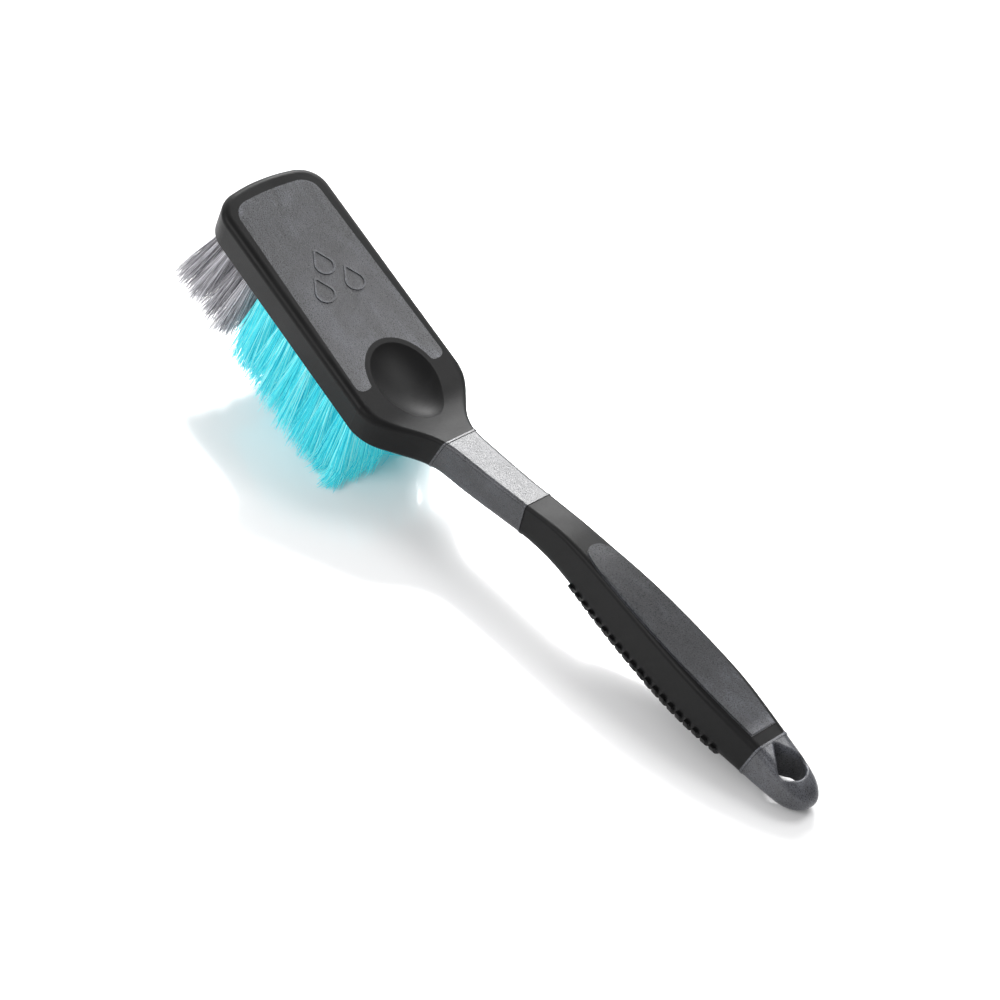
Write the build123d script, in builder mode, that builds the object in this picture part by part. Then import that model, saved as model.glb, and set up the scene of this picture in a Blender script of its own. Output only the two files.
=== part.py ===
"""Wheel brush: grey hard core, soft black head jacket and grip sleeve, fourteen bristle rows.

Frame: the brush lies as it is put down, on the heel of its bristles and the tip of its tail.
Floor at z = 0, toe toward -X, tail toward +X, mirror plane y = 0. Millimetres.
Lengths along the brush (called x in the tables) are measured from the toe, parallel to the flat
top panel of the head. Heights in the tables are measured square to that panel, panel = 0.
"""
from build123d import *
import math
import os

# ---- resting attitude -------------------------------------------------------------------------
HEAD_PITCH = 23.86          # toe-up pitch of the head panel, degrees
HEAD_X = -146.051            # where the toe end of the panel plane sits
HEAD_Z = 88.344
AXIS_SLOPE = 12.2           # slope of grip and cap against the head panel, degrees

# ---- head -------------------------------------------------------------------------------------
HEAD_LENGTH = 104.0         # toe to the start of the shoulders
HEAD_HALF_WIDTH = 24.0
HEAD_DEPTH = 16.0
TOE_SAG = 4.2               # how far the toe arch bulges
TOE_CORNER = 12.0
SOFT_WALL = 3.0             # thickness of head jacket and grip sleeve over the hard core
TOP_ROUND = 3.2
BOTTOM_ROUND = 1.2

PANEL_FRONT = 6.8           # hard panel showing through the head jacket
PANEL_SAG = 1.6
PANEL_HALF_FRONT = 18.4
PANEL_HALF_REAR = 20.3
PANEL_REAR = 99.2
DISH_X = 101.3              # thumb dish
DISH_HALF_LENGTH = 16.6
DISH_HALF_WIDTH = 12.4
DISH_DEPTH = 3.2
DISH_RISE = 6.0             # height of the dish's centre above the panel
DISH_SKIN = 1.2             # soft skin left under the dish
FORK_GAP = 1.3              # soft rim between dish and panel fork
FORK_ROUND = 3.0            # rounded tips of the panel fork

DROPS = [(45.5, 0.0), (56.5, -7.0), (56.5, 7.0)]    # raised water drops on the head panel
DROP_RADIUS = 4.2
DROP_REACH = 7.5
DROP_LINE = 0.9
DROP_RELIEF = 0.4

# ---- neck, grip, cap --------------------------------------------------------------------------
HEAD_SEAM = 133.8           # where the head jacket stops
GRIP_SEAM = 175.6           # where the grip sleeve starts, on top
GRIP_SEAM_LEAN = 20.0
CAP_SEAM = 298.4            # where the cap starts, on top
CAP_SEAM_LEAN = 5.0
TAIL = 323.9
GRIP_MIDDLE = (205.0, 27.8)  # a point on the middle line of the grip
GRIP_PANEL = [(1.0, 2.8), (4.5, 4.9), (14, 6.5), (27, 7.5), (43, 8.0), (58, 7.9), (74, 7.2), (92.9, 5.5)]
PANEL_PROUD = 0.6
PANEL_EDGE = 0.35           # softened edge of the grip panel
SEAM_LIP = 0.25             # hard lip standing proud along each seam
SEAM_LIP_WIDTH = 0.8
RIB_REACH = 4.5             # ribs stop this far under the middle line
RIB_HEIGHT = 1.3
RIB_WIDTH = 2.1
RIB_PITCH = 4.2
RIB_COUNT = 20
RIB_START = 3.4             # first rib, from the front of the grip panel

HOLE_X = 309.4              # hang hole: round end centre, radius, length toward the head
HOLE_RADIUS = 5.3
HOLE_REACH = 8.6
HOLE_TIP = 0.9
HOLE_ROUND = 0.7            # rounded mouths of the hang hole

# x, top, bottom, half width on top, half width below, top corner radius, bottom corner radius
STATIONS = [
    (104.0, 0.0, -16.0, 24.0, 24.0, 3.2, 1.2),
    (108.0, 0.0, -16.0, 23.3, 23.4, 3.2, 1.3),
    (112.0, 0.1, -15.9, 21.5, 22.1, 3.0, 1.6),
    (116.0, 0.6, -15.6, 18.7, 19.9, 2.8, 2.0),
    (120.0, 1.6, -14.8, 15.4, 17.2, 2.4, 2.5),
    (124.0, 2.9, -13.8, 12.2, 14.7, 2.1, 3.0),
    (128.0, 4.4, -12.4, 9.7, 12.6, 1.8, 3.6),
    (132.0, 6.1, -10.8, 8.0, 11.1, 1.6, 4.1),
    (136.0, 7.9, -9.1, 7.1, 10.2, 1.5, 4.5),
    (146.0, 12.1, -4.7, 6.6, 9.8, 1.5, 4.6),
    (156.0, 16.3, -0.3, 6.3, 9.5, 1.5, 4.6),
    (166.0, 20.7, 4.4, 6.0, 9.1, 1.5, 4.6),
    (176.0, 25.4, 9.2, 5.8, 8.7, 1.5, 4.6),
    (186.0, 30.2, 13.5, 5.7, 8.5, 1.6, 4.8),
    (194.0, 33.6, 16.2, 5.8, 8.7, 1.8, 5.0),
    (204.0, 36.9, 18.5, 6.3, 9.3, 2.0, 5.4),
    (216.0, 40.4, 20.7, 7.2, 10.6, 2.2, 5.8),
    (230.0, 43.9, 22.9, 8.2, 12.0, 2.4, 6.4),
    (245.0, 47.1, 25.4, 8.9, 12.9, 2.5, 6.8),
    (260.0, 50.0, 28.1, 9.2, 13.3, 2.5, 7.0),
    (275.0, 52.8, 31.7, 9.0, 13.0, 2.5, 6.8),
    (288.0, 54.8, 35.5, 8.0, 12.0, 2.6, 6.2),
    (298.0, 56.2, 38.5, 7.0, 11.1, 2.9, 5.6),
    (304.0, 56.9, 40.2, 6.5, 10.5, 3.2, 5.4),
    (309.0, 57.3, 41.5, 6.2, 10.0, 3.6, 5.4),
    (313.0, 57.4, 42.5, 5.9, 9.4, 3.8, 5.4),
    (317.0, 57.1, 43.65, 5.4, 8.4, 3.8, 5.2),
    (320.0, 56.3, 45.15, 4.6, 7.0, 3.4, 4.6),
    (322.0, 55.2, 47.0, 3.6, 5.4, 2.8, 3.6),
    (323.3, 53.9, 48.9, 2.5, 3.6, 1.7, 2.3),
    (323.9, 52.5, 50.6, 1.3, 1.7, 0.7, 0.8),
]

# ---- bristles ---------------------------------------------------------------------------------
ROWS = 14
GREY_ROWS = 4
FIRST_ROW = 8.5
ROW_PITCH = 7.0
TUFT_PITCH = 7.0
TUFT_RADIUS = 1.9
TUFT_HOLE_DEPTH = 9.0
TUFT_LENGTH = 52.0          # before trimming
TUFT_FLARE = 0.75           # half-angle by which a tuft opens, degrees
TIP_LEVEL = -58.0           # trimmed bristle tips
SPLAY = [9.0, 5.2]          # outward lean of the outermost tufts in rows of five and of six, degrees
LEAN = [-13, -10, -7, -4, 4, 3, 2, 2, 2, 3, 4, 5.5, 7.5, 10]
WIRE_LENGTH = 3.76
WIRE_WIDTH = 1.6
WIRE_THICKNESS = 0.5

HANGING_UP = (Align.CENTER, Align.CENTER, Align.MIN)
HANGING_DOWN = (Align.CENTER, Align.CENTER, Align.MAX)

os.makedirs("parts", exist_ok=True)

pitch = math.radians(HEAD_PITCH)
HEAD = Plane(
    origin=(HEAD_X, 0, HEAD_Z),
    x_dir=(math.cos(pitch), 0, -math.sin(pitch)),
    z_dir=(math.sin(pitch), 0, math.cos(pitch)),
)


def placed(x=0.0, y=0.0, z=0.0, roll=0.0, lean=0.0):
    """Plane at (x, y, z) on the brush, rolled about its length and leaned about its cross axis."""
    return Plane(HEAD.location * Location((x, y, z)) * Location((0, 0, 0), (roll, lean, 0)))


def cross_plane(x, lean=0.0):
    """Plane square to the brush at x: sketch X runs across, sketch Y runs up."""
    leaned = Location((x, 0, 0)) * Location((0, 0, 0), (0, lean, 0))
    return Plane(HEAD.location * leaned * Plane.YZ.location)


def station_sections(first, last, inset=0.0):
    """Rounded trapezium sections of the stations from x = first to last, pulled in by `inset`."""
    sections = []
    for x, top, bottom, half_top, half_bottom, r_top, r_bottom in STATIONS:
        if not first <= x <= last:
            continue
        with BuildSketch(cross_plane(x)) as section:
            with BuildLine():
                Polyline(
                    (-half_top + inset, top - inset),
                    (half_top - inset, top - inset),
                    (half_bottom - inset, bottom + inset),
                    (-half_bottom + inset, bottom + inset),
                    close=True,
                )
            make_face()
            fillet(section.vertices().sort_by(Axis.Y)[2:], max(r_top - inset, 0.6))
            fillet(section.vertices().sort_by(Axis.Y)[:2], max(r_bottom - inset, 0.6))
        sections.append(section.sketch)
    return sections


def toe_outline(level, half_width, toe, sag, corner):
    """Head outline with the arched toe, on the plane at height `level`."""
    with BuildSketch(placed(z=level)) as outline:
        with BuildLine():
            Polyline(
                (toe + sag, -half_width),
                (HEAD_LENGTH, -half_width),
                (HEAD_LENGTH, half_width),
                (toe + sag, half_width),
            )
            ThreePointArc((toe + sag, half_width), (toe, 0), (toe + sag, -half_width))
        make_face()
        fillet(outline.vertices().sort_by(Axis.X)[:2], corner)
    return outline.sketch


def row_x(row):
    """Distance of a tuft row from the toe."""
    return FIRST_ROW + ROW_PITCH * row


def row_ys(row):
    """Cross positions of the tufts in a row: five and six by turns."""
    count = 5 + row % 2
    return [TUFT_PITCH * (i - (count - 1) / 2) for i in range(count)]


def row_locations(row, up):
    """Points `up` the axis of each tuft hole of one row, measured from the hole's mouth."""
    locations = []
    ys = row_ys(row)
    for y in ys:
        splay = SPLAY[row % 2] * y / ys[-1]
        mouth = HEAD.location * Location((row_x(row), y, -HEAD_DEPTH))
        leaned = mouth * Location((0, 0, 0), (splay, -LEAN[row], 0))
        locations.append(leaned * Location((0, 0, up)))
    return locations


def drop_outline(x, y, inset):
    """Water drop pointing toward the toe, pulled in by `inset`."""
    with BuildSketch(placed(x=x, y=y)) as drop:
        with BuildLine():
            CenterArc((0, 0), DROP_RADIUS - inset, 0, 360)
            CenterArc((-DROP_REACH + 1.6 * inset, 0), 0.5, 0, 360)
        make_hull()
    return drop.sketch


def panel_layer(proud, inset):
    """Grip panel standing `proud` of the sleeve, its outline pulled in by `inset`."""
    half_widths = [(x, half - inset) for x, half in GRIP_PANEL]
    half_widths[-1] = (GRIP_PANEL[-1][0] - inset, GRIP_PANEL[-1][1] - inset)
    near_edge = [(x, -half) for x, half in reversed(half_widths)]
    with BuildPart() as layer:
        loft(sections=station_sections(194.0, 309.0, -proud))
        with BuildSketch(grip_plane):
            with BuildLine():
                outline_spline = Spline(*near_edge, (inset, 0), *half_widths)
                Line(outline_spline @ 0, outline_spline @ 1)
            make_face()
        extrude(amount=30, mode=Mode.INTERSECT)
    return layer.part


def side_slab(first_top, first_bottom, last_top, last_bottom):
    """Block across the whole brush between two seams seen from the side.

    Each seam runs from `..._top` at height 70 to `..._bottom` at height -30.
    """
    with BuildPart() as block:
        with BuildSketch(Plane(HEAD.location * Location((0, 40, 0)) * Plane.XZ.location)):
            with BuildLine():
                Polyline(
                    (first_top, 70),
                    (last_top, 70),
                    (last_bottom, -30),
                    (first_bottom, -30),
                    close=True,
                )
            make_face()
        extrude(amount=80)
    return block.part


def leaned_seam(x, height, lean):
    """Top and bottom x of a seam that passes (x, height) and leans back below it."""
    slope = math.tan(math.radians(lean))
    return x - (70 - height) * slope, x + (height + 30) * slope


# ---- outer form of the whole brush, before it is shared out between hard and soft ---------------
with BuildPart() as head_form:
    head_outline = toe_outline(-HEAD_DEPTH, HEAD_HALF_WIDTH, 0, TOE_SAG, TOE_CORNER)
    extrude(head_outline, amount=HEAD_DEPTH, dir=HEAD.z_dir)
    along = head_form.faces().sort_by(Axis(HEAD.origin, HEAD.x_dir))
    upward = head_form.faces().sort_by(Axis(HEAD.origin, HEAD.z_dir))
    rear_edges = along[-1].edges()
    fillet([e for e in upward[-1].edges() if e not in rear_edges], TOP_ROUND)
    upward = head_form.faces().sort_by(Axis(HEAD.origin, HEAD.z_dir))
    fillet([e for e in upward[0].edges() if e not in rear_edges], BOTTOM_ROUND)

with BuildPart() as brush_form:
    loft(sections=station_sections(HEAD_LENGTH, TAIL))
    add(head_form.part)

# ---- shared cutters -----------------------------------------------------------------------------
dish_scale = 1 / math.sqrt(1 - (DISH_RISE / (DISH_RISE + DISH_DEPTH)) ** 2)
dish_axes = (DISH_HALF_LENGTH * dish_scale, DISH_HALF_WIDTH * dish_scale, DISH_RISE + DISH_DEPTH)
dish_centre = placed(x=DISH_X, z=DISH_RISE).location

with BuildPart() as thumb_dish:
    Sphere(1)
    scale(by=dish_axes)

with BuildPart() as thumb_dish_hard:
    Sphere(1)
    scale(by=tuple(axis + DISH_SKIN for axis in dish_axes))

grip_plane = placed(x=GRIP_MIDDLE[0], z=GRIP_MIDDLE[1], lean=-AXIS_SLOPE)
grip_seam = leaned_seam(GRIP_SEAM, 25.0, GRIP_SEAM_LEAN)
cap_seam = leaned_seam(CAP_SEAM, 56.0, CAP_SEAM_LEAN)

with BuildPart() as hang_hole:
    with BuildSketch(placed(x=HOLE_X, z=57.6, lean=-AXIS_SLOPE)) as teardrop:
        with BuildLine():
            CenterArc((0, 0), HOLE_RADIUS, 0, 360)
            CenterArc((-HOLE_REACH, 0), HOLE_TIP, 0, 360)
        make_hull()
    extrude(amount=30, both=True)

with BuildPart() as head_panel:
    with BuildSketch(placed(z=-SOFT_WALL - 1)) as panel_outline:
        with BuildLine():
            Polyline(
                (PANEL_FRONT + PANEL_SAG, -PANEL_HALF_FRONT),
                (PANEL_REAR, -PANEL_HALF_REAR),
                (PANEL_REAR, PANEL_HALF_REAR),
                (PANEL_FRONT + PANEL_SAG, PANEL_HALF_FRONT),
            )
            ThreePointArc(
                (PANEL_FRONT + PANEL_SAG, PANEL_HALF_FRONT),
                (PANEL_FRONT, 0),
                (PANEL_FRONT + PANEL_SAG, -PANEL_HALF_FRONT),
            )
        make_face()
        with Locations((DISH_X, 0)):
            Ellipse(DISH_HALF_LENGTH + FORK_GAP, DISH_HALF_WIDTH + FORK_GAP, mode=Mode.SUBTRACT)
        fillet(panel_outline.vertices().sort_by(Axis.X)[:2], 7.5)
        fillet(panel_outline.vertices().sort_by(Axis.X)[-4:], FORK_ROUND)
    extrude(amount=SOFT_WALL + 1)
    for drop_x, drop_y in DROPS:
        outer = drop_outline(drop_x, drop_y, 0)
        inner = drop_outline(drop_x, drop_y, DROP_LINE)
        extrude(outer, amount=DROP_RELIEF, dir=HEAD.z_dir)
        extrude(inner, amount=DROP_RELIEF, dir=HEAD.z_dir, mode=Mode.SUBTRACT)

with BuildPart() as grip_panel:
    add(panel_layer(PANEL_PROUD, PANEL_EDGE))
    add(panel_layer(PANEL_PROUD - PANEL_EDGE, 0))

with BuildPart() as seam_lips:
    for slab in (
        side_slab(HEAD_SEAM, HEAD_SEAM, HEAD_SEAM + SEAM_LIP_WIDTH, HEAD_SEAM + SEAM_LIP_WIDTH),
        side_slab(*[seam - SEAM_LIP_WIDTH for seam in grip_seam], *grip_seam),
        side_slab(*cap_seam, *[seam + SEAM_LIP_WIDTH for seam in cap_seam]),
    ):
        add(slab)
    loft(sections=station_sections(HEAD_LENGTH, 313.0, -SEAM_LIP), mode=Mode.INTERSECT)

with BuildPart() as ribs:
    loft(sections=station_sections(186.0, 309.0, -RIB_HEIGHT))
    with BuildSketch(Plane(grip_plane.location * Location((0, 0, -RIB_REACH)))):
        with Locations([(RIB_START + RIB_PITCH * i, 0) for i in range(RIB_COUNT)]):
            Rectangle(RIB_WIDTH, 60)
    extrude(amount=-30, mode=Mode.INTERSECT)

# ---- hard grey core: head block, neck, tang, cap, and the two panels that show -------------------
with BuildPart() as handle_core:
    add(brush_form.part)
    add(side_slab(-20, -20, HEAD_SEAM, HEAD_SEAM), mode=Mode.SUBTRACT)
    add(side_slab(*grip_seam, *cap_seam), mode=Mode.SUBTRACT)
    loft(sections=station_sections(HEAD_LENGTH, 309.0, SOFT_WALL))
    block_outline = toe_outline(
        -HEAD_DEPTH,
        HEAD_HALF_WIDTH - SOFT_WALL,
        SOFT_WALL,
        TOE_SAG,
        TOE_CORNER - SOFT_WALL,
    )
    extrude(block_outline, amount=HEAD_DEPTH - SOFT_WALL, dir=HEAD.z_dir)
    add(head_panel.part)
    add(grip_panel.part)
    add(seam_lips.part)
    add(dish_centre * thumb_dish_hard.part, mode=Mode.SUBTRACT)
    add(hang_hole.part, mode=Mode.SUBTRACT)
    hole_mouths = handle_core.edges(Select.LAST).filter_by(GeomType.LINE, reverse=True)
    fillet(hole_mouths, HOLE_ROUND)
    for row in range(ROWS):
        with Locations(row_locations(row, -1)):
            Cylinder(TUFT_RADIUS, TUFT_HOLE_DEPTH + 1, align=HANGING_UP, mode=Mode.SUBTRACT)

handle_core.part.label = "handle_core"
export_step(handle_core.part, "parts/handle_core.step")

# ---- soft black head jacket with the thumb dish --------------------------------------------------
with BuildPart() as head_jacket:
    add(brush_form.part)
    add(side_slab(-20, -20, HEAD_SEAM, HEAD_SEAM), mode=Mode.INTERSECT)
    add(dish_centre * thumb_dish.part, mode=Mode.SUBTRACT)
    add(handle_core.part, mode=Mode.SUBTRACT)
    for row in range(ROWS):
        with Locations(row_locations(row, -1)):
            Cylinder(TUFT_RADIUS, TUFT_HOLE_DEPTH + 1, align=HANGING_UP, mode=Mode.SUBTRACT)

head_jacket.part.label = "head_jacket"
export_step(head_jacket.part, "parts/head_jacket.step")

# ---- soft black grip sleeve with the finger ribs -------------------------------------------------
with BuildPart() as grip_sleeve:
    add(brush_form.part)
    add(side_slab(*grip_seam, *cap_seam), mode=Mode.INTERSECT)
    add(ribs.part)
    add(handle_core.part, mode=Mode.SUBTRACT)

grip_sleeve.part.label = "grip_sleeve"
export_step(grip_sleeve.part, "parts/grip_sleeve.step")

# ---- bristle rows and the anchor wires that hold them --------------------------------------------
tip_radius = TUFT_RADIUS + TUFT_LENGTH * math.tan(math.radians(TUFT_FLARE))
wire_up = TUFT_HOLE_DEPTH - WIRE_WIDTH

for row in range(ROWS):
    colour = "grey" if row < GREY_ROWS else "turquoise"
    number = row + 1 if row < GREY_ROWS else row + 1 - GREY_ROWS

    with BuildPart() as bristle_row:
        with Locations(row_locations(row, -1)):
            Cylinder(TUFT_RADIUS, TUFT_HOLE_DEPTH + 1, align=HANGING_UP)
            Cone(tip_radius, TUFT_RADIUS, TUFT_LENGTH, align=HANGING_DOWN)
        with Locations(placed(z=TIP_LEVEL).location):
            Box(400, 100, 60, align=HANGING_DOWN, mode=Mode.SUBTRACT)
        Box(600, 100, 60, align=HANGING_DOWN, mode=Mode.SUBTRACT)
        with Locations(row_locations(row, wire_up)):
            Box(WIRE_THICKNESS, 2 * TUFT_RADIUS + 1, WIRE_WIDTH, mode=Mode.SUBTRACT)

    bristle_row.part.label = f"bristle_row_{colour}_{number:02d}"
    export_step(bristle_row.part, f"parts/bristle_row_{colour}_{number:02d}.step")

    with BuildPart() as anchor_wires:
        with Locations(row_locations(row, wire_up)):
            Box(WIRE_THICKNESS, WIRE_LENGTH, WIRE_WIDTH)

    anchor_wires.part.label = f"anchor_wires_{row + 1:02d}"
    export_step(anchor_wires.part, f"parts/anchor_wires_{row + 1:02d}.step")
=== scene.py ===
import math
import random

import bpy
from mathutils import Matrix, Vector


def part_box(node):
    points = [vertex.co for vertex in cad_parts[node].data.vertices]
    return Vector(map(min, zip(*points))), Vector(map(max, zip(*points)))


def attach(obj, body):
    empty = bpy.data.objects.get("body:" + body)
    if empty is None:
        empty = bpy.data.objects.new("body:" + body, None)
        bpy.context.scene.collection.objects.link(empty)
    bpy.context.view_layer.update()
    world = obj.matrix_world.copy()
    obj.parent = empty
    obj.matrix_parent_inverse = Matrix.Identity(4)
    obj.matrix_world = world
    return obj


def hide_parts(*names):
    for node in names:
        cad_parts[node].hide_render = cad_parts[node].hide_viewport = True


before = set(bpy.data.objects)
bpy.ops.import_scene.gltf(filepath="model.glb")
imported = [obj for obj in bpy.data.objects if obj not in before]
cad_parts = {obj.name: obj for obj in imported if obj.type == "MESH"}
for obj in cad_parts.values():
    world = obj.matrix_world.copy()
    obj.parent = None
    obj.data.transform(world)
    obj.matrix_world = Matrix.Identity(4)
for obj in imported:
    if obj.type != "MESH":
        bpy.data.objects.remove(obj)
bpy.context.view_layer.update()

MM = 0.001

# ---- the brush's own directions ----------------------------------------------------------------
# The head is pitched toe-up. Lengths run along its panel from the toe, and heights square to it.
HEAD_PITCH = math.radians(23.86)
TOE = Vector((-146.051, 0.0, 88.344)) * MM
ALONG = Vector((math.cos(HEAD_PITCH), 0.0, -math.sin(HEAD_PITCH)))
ACROSS = Vector((0.0, 1.0, 0.0))
UP = Vector((math.sin(HEAD_PITCH), 0.0, math.cos(HEAD_PITCH)))


def on_brush(x, y, z):
    """World point of a place on the brush, given in millimetres."""
    return TOE + (ALONG * x + ACROSS * y + UP * z) * MM


# ---- materials ---------------------------------------------------------------------------------
# Noise scales are repeats per metre, and bump distances are metres.
MOULD_GRAIN = 2300          # noise scale of the fine grain on both plastics
MIX_COLOUR_A, MIX_COLOUR_B, MIX_COLOUR_RESULT = 6, 7, 2


def new_material(name):
    """New material with its Principled shader and object coordinates."""
    material = bpy.data.materials.new(name)
    material.use_nodes = True
    nodes = material.node_tree.nodes
    coords = nodes.new("ShaderNodeTexCoord")
    return material, nodes["Principled BSDF"], coords.outputs["Object"]


def noise(material, coords, scale, detail=3.0, roughness=0.55, distortion=0.0):
    """Noise between 0 and 1."""
    node = material.node_tree.nodes.new("ShaderNodeTexNoise")
    node.inputs["Scale"].default_value = scale
    node.inputs["Detail"].default_value = detail
    node.inputs["Roughness"].default_value = roughness
    node.inputs["Distortion"].default_value = distortion
    material.node_tree.links.new(coords, node.inputs["Vector"])
    return node.outputs["Fac"]


def ramp(material, value, stops):
    """Colour ramp over (position, colour) stops."""
    node = material.node_tree.nodes.new("ShaderNodeValToRGB")
    elements = node.color_ramp.elements
    elements[0].position, elements[0].color = stops[0][0], (*stops[0][1], 1)
    elements[1].position, elements[1].color = stops[-1][0], (*stops[-1][1], 1)
    for position, colour in stops[1:-1]:
        elements.new(position).color = (*colour, 1)
    material.node_tree.links.new(value, node.inputs["Fac"])
    return node.outputs["Color"]


def bump(material, height, strength, distance, under=None):
    """Bumped normal, laid over the normal `under` where there is one."""
    node = material.node_tree.nodes.new("ShaderNodeBump")
    node.inputs["Strength"].default_value = strength
    node.inputs["Distance"].default_value = distance
    material.node_tree.links.new(height, node.inputs["Height"])
    if under is not None:
        material.node_tree.links.new(under, node.inputs["Normal"])
    return node.outputs["Normal"]


def grey(level):
    return (level, level, level)


def multiply(material, first, second):
    """Product of two colours."""
    node = material.node_tree.nodes.new("ShaderNodeMix")
    node.data_type = "RGBA"
    node.blend_type = "MULTIPLY"
    node.inputs["Factor"].default_value = 1.0
    material.node_tree.links.new(first, node.inputs[MIX_COLOUR_A])
    material.node_tree.links.new(second, node.inputs[MIX_COLOUR_B])
    return node.outputs[MIX_COLOUR_RESULT]


def painted_crease_shade_and_edge_highlight(material, crease, edge):
    """Painted shade and highlight: factor from `crease` in the creases, where it paints shade, to
    `edge` on exposed edges, where it paints a highlight, and 1 on flat faces.
    """
    geometry = material.node_tree.nodes.new("ShaderNodeNewGeometry")
    stops = [(0.44, grey(crease)), (0.5, grey(1.0)), (0.56, grey(edge))]
    return ramp(material, geometry.outputs["Pointiness"], stops)


def stretched(material, coords, squeeze):
    """Object coordinates squeezed by a factor along each axis, for patterns that flow."""
    node = material.node_tree.nodes.new("ShaderNodeMapping")
    node.inputs["Scale"].default_value = squeeze
    material.node_tree.links.new(coords, node.inputs["Vector"])
    return node.outputs["Vector"]


def along_grip(material, coords, ahead, under, behind):
    """Level ahead of the grip sleeve, under it and behind it. It changes at the sleeve's ends."""
    nodes, link = material.node_tree.nodes, material.node_tree.links.new
    lowest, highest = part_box("grip_sleeve")
    split = nodes.new("ShaderNodeSeparateXYZ")
    link(coords, split.inputs["Vector"])
    span = nodes.new("ShaderNodeMapRange")
    span.inputs["From Min"].default_value = lowest[0]
    span.inputs["From Max"].default_value = highest[0]
    link(split.outputs["X"], span.inputs["Value"])
    stops = [(0.0, grey(ahead)), (0.07, grey(under)), (0.93, grey(under)), (1.0, grey(behind))]
    return ramp(material, span.outputs["Result"], stops)


def grained_plastic():
    """Spark-eroded grey polypropylene: fine matt grain, faint flow marks, painted highlights on its
    edges and painted shade in its creases.

    The panel on the grip is darkened by painted shade and has a lower specular level; the colour is
    paler on the cap behind the sleeve.
    """
    material, shader, coords = new_material("grained grey plastic")
    link = material.node_tree.links.new
    flowing = stretched(material, coords, squeeze=(0.6, 1.7, 1.0))
    flow = noise(material, flowing, scale=48, detail=5, roughness=0.6, distortion=2.2)
    grain = noise(material, coords, scale=MOULD_GRAIN, detail=1.6, roughness=0.6)
    flow_marks = [
        (0.28, (0.019, 0.020, 0.023)),
        (0.5, (0.030, 0.031, 0.036)),
        (0.74, (0.050, 0.053, 0.062)),
    ]
    speckle = [(0.36, grey(0.55)), (0.64, grey(1.45))]
    gloss = [(0.3, grey(0.25)), (0.7, grey(0.38))]
    colour = multiply(material, ramp(material, flow, flow_marks), ramp(material, grain, speckle))
    # Painted shade in the creases and painted highlights along the exposed edges.
    colour = multiply(material, colour, painted_crease_shade_and_edge_highlight(material, crease=0.75, edge=1.6))
    # Painted shade: the colour is darkened under the grip sleeve; it is paler on the cap behind it.
    painted_grip_shade_paler_cap = along_grip(material, coords, ahead=1.0, under=0.55, behind=1.5)
    link(multiply(material, colour, painted_grip_shade_paler_cap), shader.inputs["Base Color"])
    shine = along_grip(material, coords, ahead=0.5, under=0.22, behind=0.6)
    link(shine, shader.inputs["Specular IOR Level"])
    link(ramp(material, grain, gloss), shader.inputs["Roughness"])
    grained = bump(material, grain, strength=0.55, distance=0.00016)
    flowed = bump(material, flow, strength=0.10, distance=0.0008, under=grained)
    link(flowed, shader.inputs["Normal"])
    return material


def soft_rubber():
    """Overmoulded black rubber: almost no gloss, a silky micro-grain, handling marks."""
    material, shader, coords = new_material("soft black rubber")
    link = material.node_tree.links.new
    cloud = noise(material, coords, scale=55, detail=5, roughness=0.6, distortion=0.6)
    grain = noise(material, coords, scale=MOULD_GRAIN, detail=2, roughness=0.6)
    scuffs = [(0.3, (0.0050, 0.0050, 0.0052)), (0.72, (0.0092, 0.0092, 0.0095))]
    gloss = [(0.3, grey(0.35)), (0.75, grey(0.47))]
    link(ramp(material, cloud, scuffs), shader.inputs["Base Color"])
    link(ramp(material, cloud, gloss), shader.inputs["Roughness"])
    link(bump(material, grain, strength=0.30, distance=0.00012), shader.inputs["Normal"])
    shader.inputs["Specular IOR Level"].default_value = 0.12
    return material


def bristle_fibre(name, tints, painted_glow):
    """Soft nylon fibre: every filament has its own tint, and a faint painted glow, by emission,
    that stands in for light let through.
    """
    material, shader, _ = new_material(name)
    geometry = material.node_tree.nodes.new("ShaderNodeNewGeometry")
    tint = ramp(material, geometry.outputs["Random Per Island"], tints)
    material.node_tree.links.new(tint, shader.inputs["Base Color"])
    # Painted glow: the emission in the filament's own tint stands in for light let through the
    # fibre.
    material.node_tree.links.new(tint, shader.inputs["Emission Color"])
    shader.inputs["Emission Strength"].default_value = painted_glow
    shader.inputs["Roughness"].default_value = 0.42
    return material


def brass_wire():
    """Drawn brass with a little tarnish."""
    material, shader, coords = new_material("anchor wire")
    tarnish = [(0.3, (0.46, 0.34, 0.16)), (0.7, (0.72, 0.58, 0.32))]
    colour = ramp(material, noise(material, coords, scale=900), tarnish)
    material.node_tree.links.new(colour, shader.inputs["Base Color"])
    shader.inputs["Metallic"].default_value = 1.0
    shader.inputs["Roughness"].default_value = 0.32
    return material


GREY_TINTS = [
    (0.0, (0.085, 0.082, 0.095)),
    (0.3, (0.25, 0.245, 0.265)),
    (0.7, (0.50, 0.49, 0.525)),
    (1.0, (0.78, 0.77, 0.81)),
]
TURQUOISE_TINTS = [
    (0.0, (0.0, 0.42, 0.56)),
    (0.2, (0.04, 0.68, 0.78)),
    (0.7, (0.15, 0.83, 0.87)),
    (1.0, (0.42, 0.94, 0.94)),
]
grey_plastic = grained_plastic()
black_rubber = soft_rubber()
anchor_brass = brass_wire()
grey_fibre = bristle_fibre("grey bristle fibre", GREY_TINTS, painted_glow=0.13)
turquoise_fibre = bristle_fibre("turquoise bristle fibre", TURQUOISE_TINTS, painted_glow=0.20)

for name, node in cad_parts.items():
    finish = grey_plastic
    if name in ("head_jacket", "grip_sleeve"):
        finish = black_rubber
    elif name.startswith("anchor"):
        finish = anchor_brass
    node.data.materials.clear()
    node.data.materials.append(finish)


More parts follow.
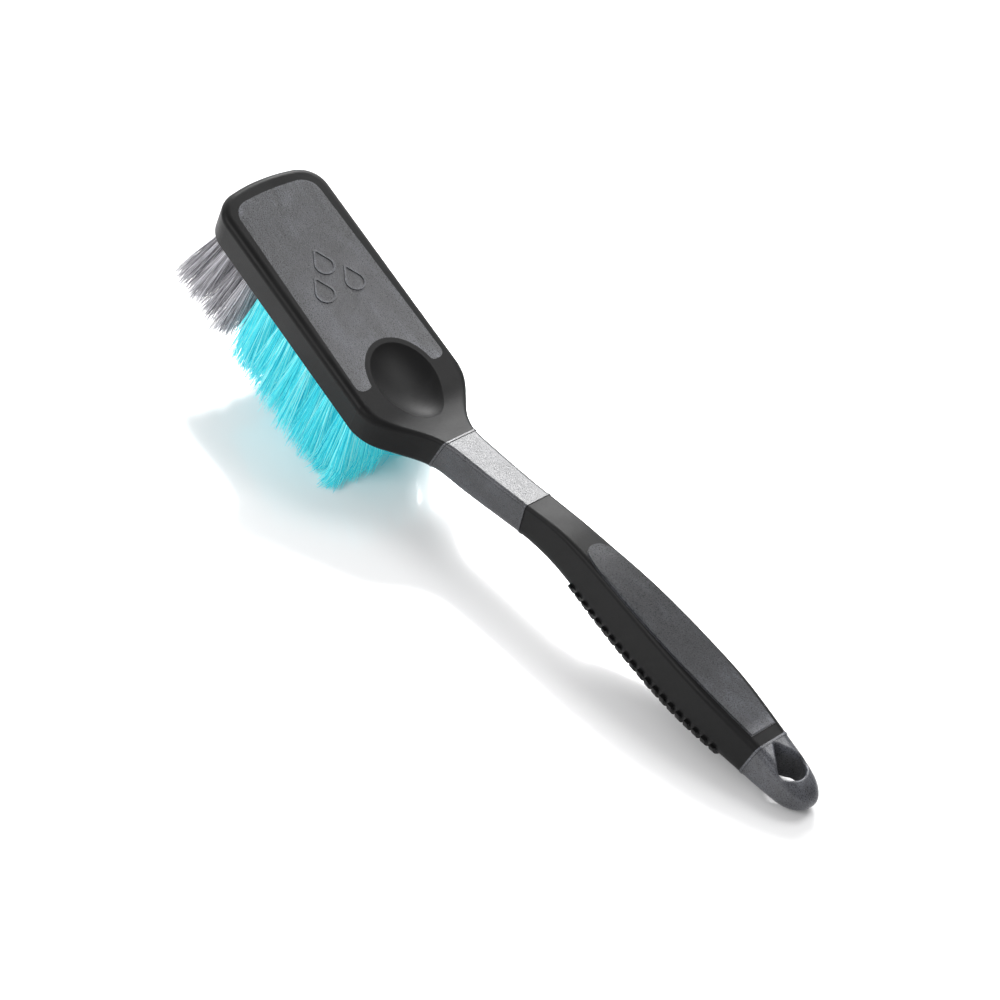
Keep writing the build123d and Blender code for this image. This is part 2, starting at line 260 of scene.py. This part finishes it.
# ---- bristles ----------------------------------------------------------------------------------
# Lengths are millimetres and angles are degrees, except where MM makes them metres.
HEAD_DEPTH = 16.0           # panel to the underside that the tufts stand in
ROWS = 14
GREY_ROWS = 4
FIRST_ROW = 8.5
ROW_PITCH = 7.0
TUFT_PITCH = 7.0
TUFT_RADIUS = 1.8
SPLAY = [9.0, 5.2]          # how far the outer tufts stand out, in rows of five and of six
LEAN = [-13, -10, -7, -4, 4, 3, 2, 2, 2, 3, 4, 5.5, 7.5, 10]    # heelward, row by row
TRIM_LEVEL = -58.4
TRIM_UNEVEN = 0.35
FLARE = 3.1                 # how far a filament opens from its tuft's axis at the rim
WAVER = 1.3                 # random lean of single filaments
ROOT_DEPTH = 1.5            # height of a filament's root above the underside
STRAY_SHARE = 0.12          # share of the filaments that the trimming missed
STRAY_TRIM = (-3.0, 0.9)    # least and most that a stray adds to its length
BEND = 0.011                # random turn of a filament at each step
FILAMENTS = 250
FILAMENT_RADIUS = 0.125
TIP_LOSS = 0.6              # share of its radius that a filament loses at its tip
TIP_POWER = 4               # how late the taper comes
SEGMENTS = 6
FLOOR_CLEAR = 0.25 * MM
FLOOR_REACH = 0.6           # share of its step that a filament still makes once it is on the floor
FLOOR_DRIFT = (0.18, 0.35)  # mean and spread of how far filaments on the floor turn heelward
SIDE_DOUBT = 1.5            # blurs the line between those that fall left and right
SIDE_REACH = 33.5 * MM      # no filament lies further than this from the middle plane
rng = random.Random(11)


def filament_points(row, y, splay_angle):
    """Centre line of one filament from its root to its trimmed tip."""
    angle = rng.uniform(0, 2 * math.pi)
    spread = math.sqrt(rng.random())
    dx, dy = spread * math.cos(angle), spread * math.sin(angle)
    lean = math.radians(LEAN[row] + FLARE * dx + rng.gauss(0, WAVER))
    splay = math.radians(splay_angle + FLARE * dy + rng.gauss(0, WAVER))
    row_place = FIRST_ROW + ROW_PITCH * row
    point = on_brush(row_place + dx * TUFT_RADIUS, y + dy * TUFT_RADIUS, ROOT_DEPTH - HEAD_DEPTH)
    direction = (ALONG * math.tan(lean) + ACROSS * math.tan(splay) - UP).normalized()
    drop = ROOT_DEPTH - HEAD_DEPTH - TRIM_LEVEL + rng.gauss(0, TRIM_UNEVEN)
    if rng.random() < STRAY_SHARE:
        drop += rng.uniform(*STRAY_TRIM)
    reach = drop * MM / -direction.dot(UP) / SEGMENTS
    turn = ALONG * rng.gauss(0, BEND) + ACROSS * rng.gauss(0, BEND)
    drift = rng.gauss(*FLOOR_DRIFT)
    side = math.copysign(1.0, y + 2 * dy + rng.gauss(0, SIDE_DOUBT))
    outward = Vector((drift, side, 0)).normalized()
    points = [point.copy()]
    for _ in range(SEGMENTS):
        ahead = point + direction * reach
        if ahead.z < FLOOR_CLEAR:
            sink = max((FLOOR_CLEAR - point.z) / reach, -1.0)
            direction = outward * math.sqrt(max(1 - sink * sink, 0.0)) + Vector((0, 0, sink))
            ahead = point + direction * reach * FLOOR_REACH
        ahead.y = max(-SIDE_REACH, min(SIDE_REACH, ahead.y))
        point = ahead
        points.append(point.copy())
        direction = (direction + turn).normalized()
    return points


def bristle_row(row):
    """One row of tufts: a curve of thin filaments that taper to their tips."""
    colour, fibre, number = "grey", grey_fibre, row + 1
    if row >= GREY_ROWS:
        colour, fibre, number = "turquoise", turquoise_fibre, row + 1 - GREY_ROWS
    curve = bpy.data.curves.new(f"{colour}_filaments_{number:02d}", "CURVE")
    curve.dimensions = "3D"
    curve.bevel_depth = FILAMENT_RADIUS * MM
    curve.bevel_resolution = 0
    curve.use_fill_caps = True
    tufts = 5 + row % 2
    outermost = TUFT_PITCH * (tufts - 1) / 2
    for tuft in range(tufts):
        y = TUFT_PITCH * tuft - outermost
        for _ in range(FILAMENTS):
            points = filament_points(row, y, SPLAY[row % 2] * y / outermost)
            spline = curve.splines.new("POLY")
            spline.points.add(len(points) - 1)
            for i, point in enumerate(points):
                spline.points[i].co = (*point, 1)
                spline.points[i].radius = 1.0 - TIP_LOSS * (i / SEGMENTS) ** TIP_POWER
    curve.materials.append(fibre)
    piece = bpy.data.objects.new(curve.name, curve)
    bpy.context.scene.collection.objects.link(piece)
    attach(piece, "root")
    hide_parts(f"bristle_row_{colour}_{number:02d}")


for row in range(ROWS):
    bristle_row(row)


# ---- floor and light ---------------------------------------------------------------------------
bpy.ops.mesh.primitive_plane_add(size=12, location=(0, 0, 0))
floor = bpy.context.object
floor.name = "floor"
floor_material, floor_shader, _ = new_material("glossy white floor")
floor_shader.inputs["Base Color"].default_value = (0.90, 0.90, 0.905, 1)
floor_shader.inputs["Roughness"].default_value = 0.13
floor_shader.inputs["IOR"].default_value = 1.7
floor.data.materials.append(floor_material)

world = bpy.data.worlds.new("studio")
bpy.context.scene.world = world
world.use_nodes = True
background = world.node_tree.nodes["Background"]
background.inputs["Color"].default_value = (1, 1, 1, 1)
background.inputs["Strength"].default_value = 0.52


def softbox(name, bearing, height, distance, size, brightness):
    """Rectangular soft light seen from the brush at a bearing and elevation, in degrees."""
    light = bpy.data.lights.new(name, "AREA")
    light.shape = "RECTANGLE"
    light.size, light.size_y = size
    light.energy = brightness * math.pi * size[0] * size[1]
    lamp = bpy.data.objects.new(name, light)
    bpy.context.scene.collection.objects.link(lamp)
    turn, rise = math.radians(bearing), math.radians(height)
    level = Vector((math.cos(turn), math.sin(turn), 0)) * math.cos(rise)
    lamp.location = (level + Vector((0, 0, math.sin(rise)))) * distance
    lamp.rotation_euler = (-lamp.location).to_track_quat("-Z", "Y").to_euler()


softbox("back wall", bearing=146, height=28, distance=2.3, size=(4.2, 1.9), brightness=1.8)
softbox("back key", bearing=138, height=39, distance=1.5, size=(0.60, 0.40), brightness=22.0)
softbox("top light", bearing=70, height=61, distance=1.5, size=(0.6, 0.5), brightness=8.5)
softbox("front fill", bearing=250, height=34, distance=1.6, size=(1.0, 0.8), brightness=5.0)

# ---- camera ------------------------------------------------------------------------------------
CAMERA_PLACE = (0.5642, -0.4805, 0.6540)
YAW, DIP, ROLL = math.radians(-49.40), math.radians(40.38), math.radians(-2.34)
LENS, SENSOR = 94.8, 36     # millimetres

look = Vector((math.sin(YAW) * math.cos(DIP), math.cos(YAW) * math.cos(DIP), -math.sin(DIP)))
level = Vector((math.cos(YAW), -math.sin(YAW), 0))
below = look.cross(level)
right = level * math.cos(ROLL) + below * math.sin(ROLL)
down = below * math.cos(ROLL) - level * math.sin(ROLL)
facing = Matrix((right, -down, -look)).transposed().to_4x4()

camera_data = bpy.data.cameras.new("camera")
camera_data.lens = LENS
camera_data.sensor_width = SENSOR
camera = bpy.data.objects.new("camera", camera_data)
bpy.context.scene.collection.objects.link(camera)
camera.matrix_world = Matrix.Translation(CAMERA_PLACE) @ facing
bpy.context.scene.camera = camera
bpy.context.scene.view_settings.view_transform = "Standard"
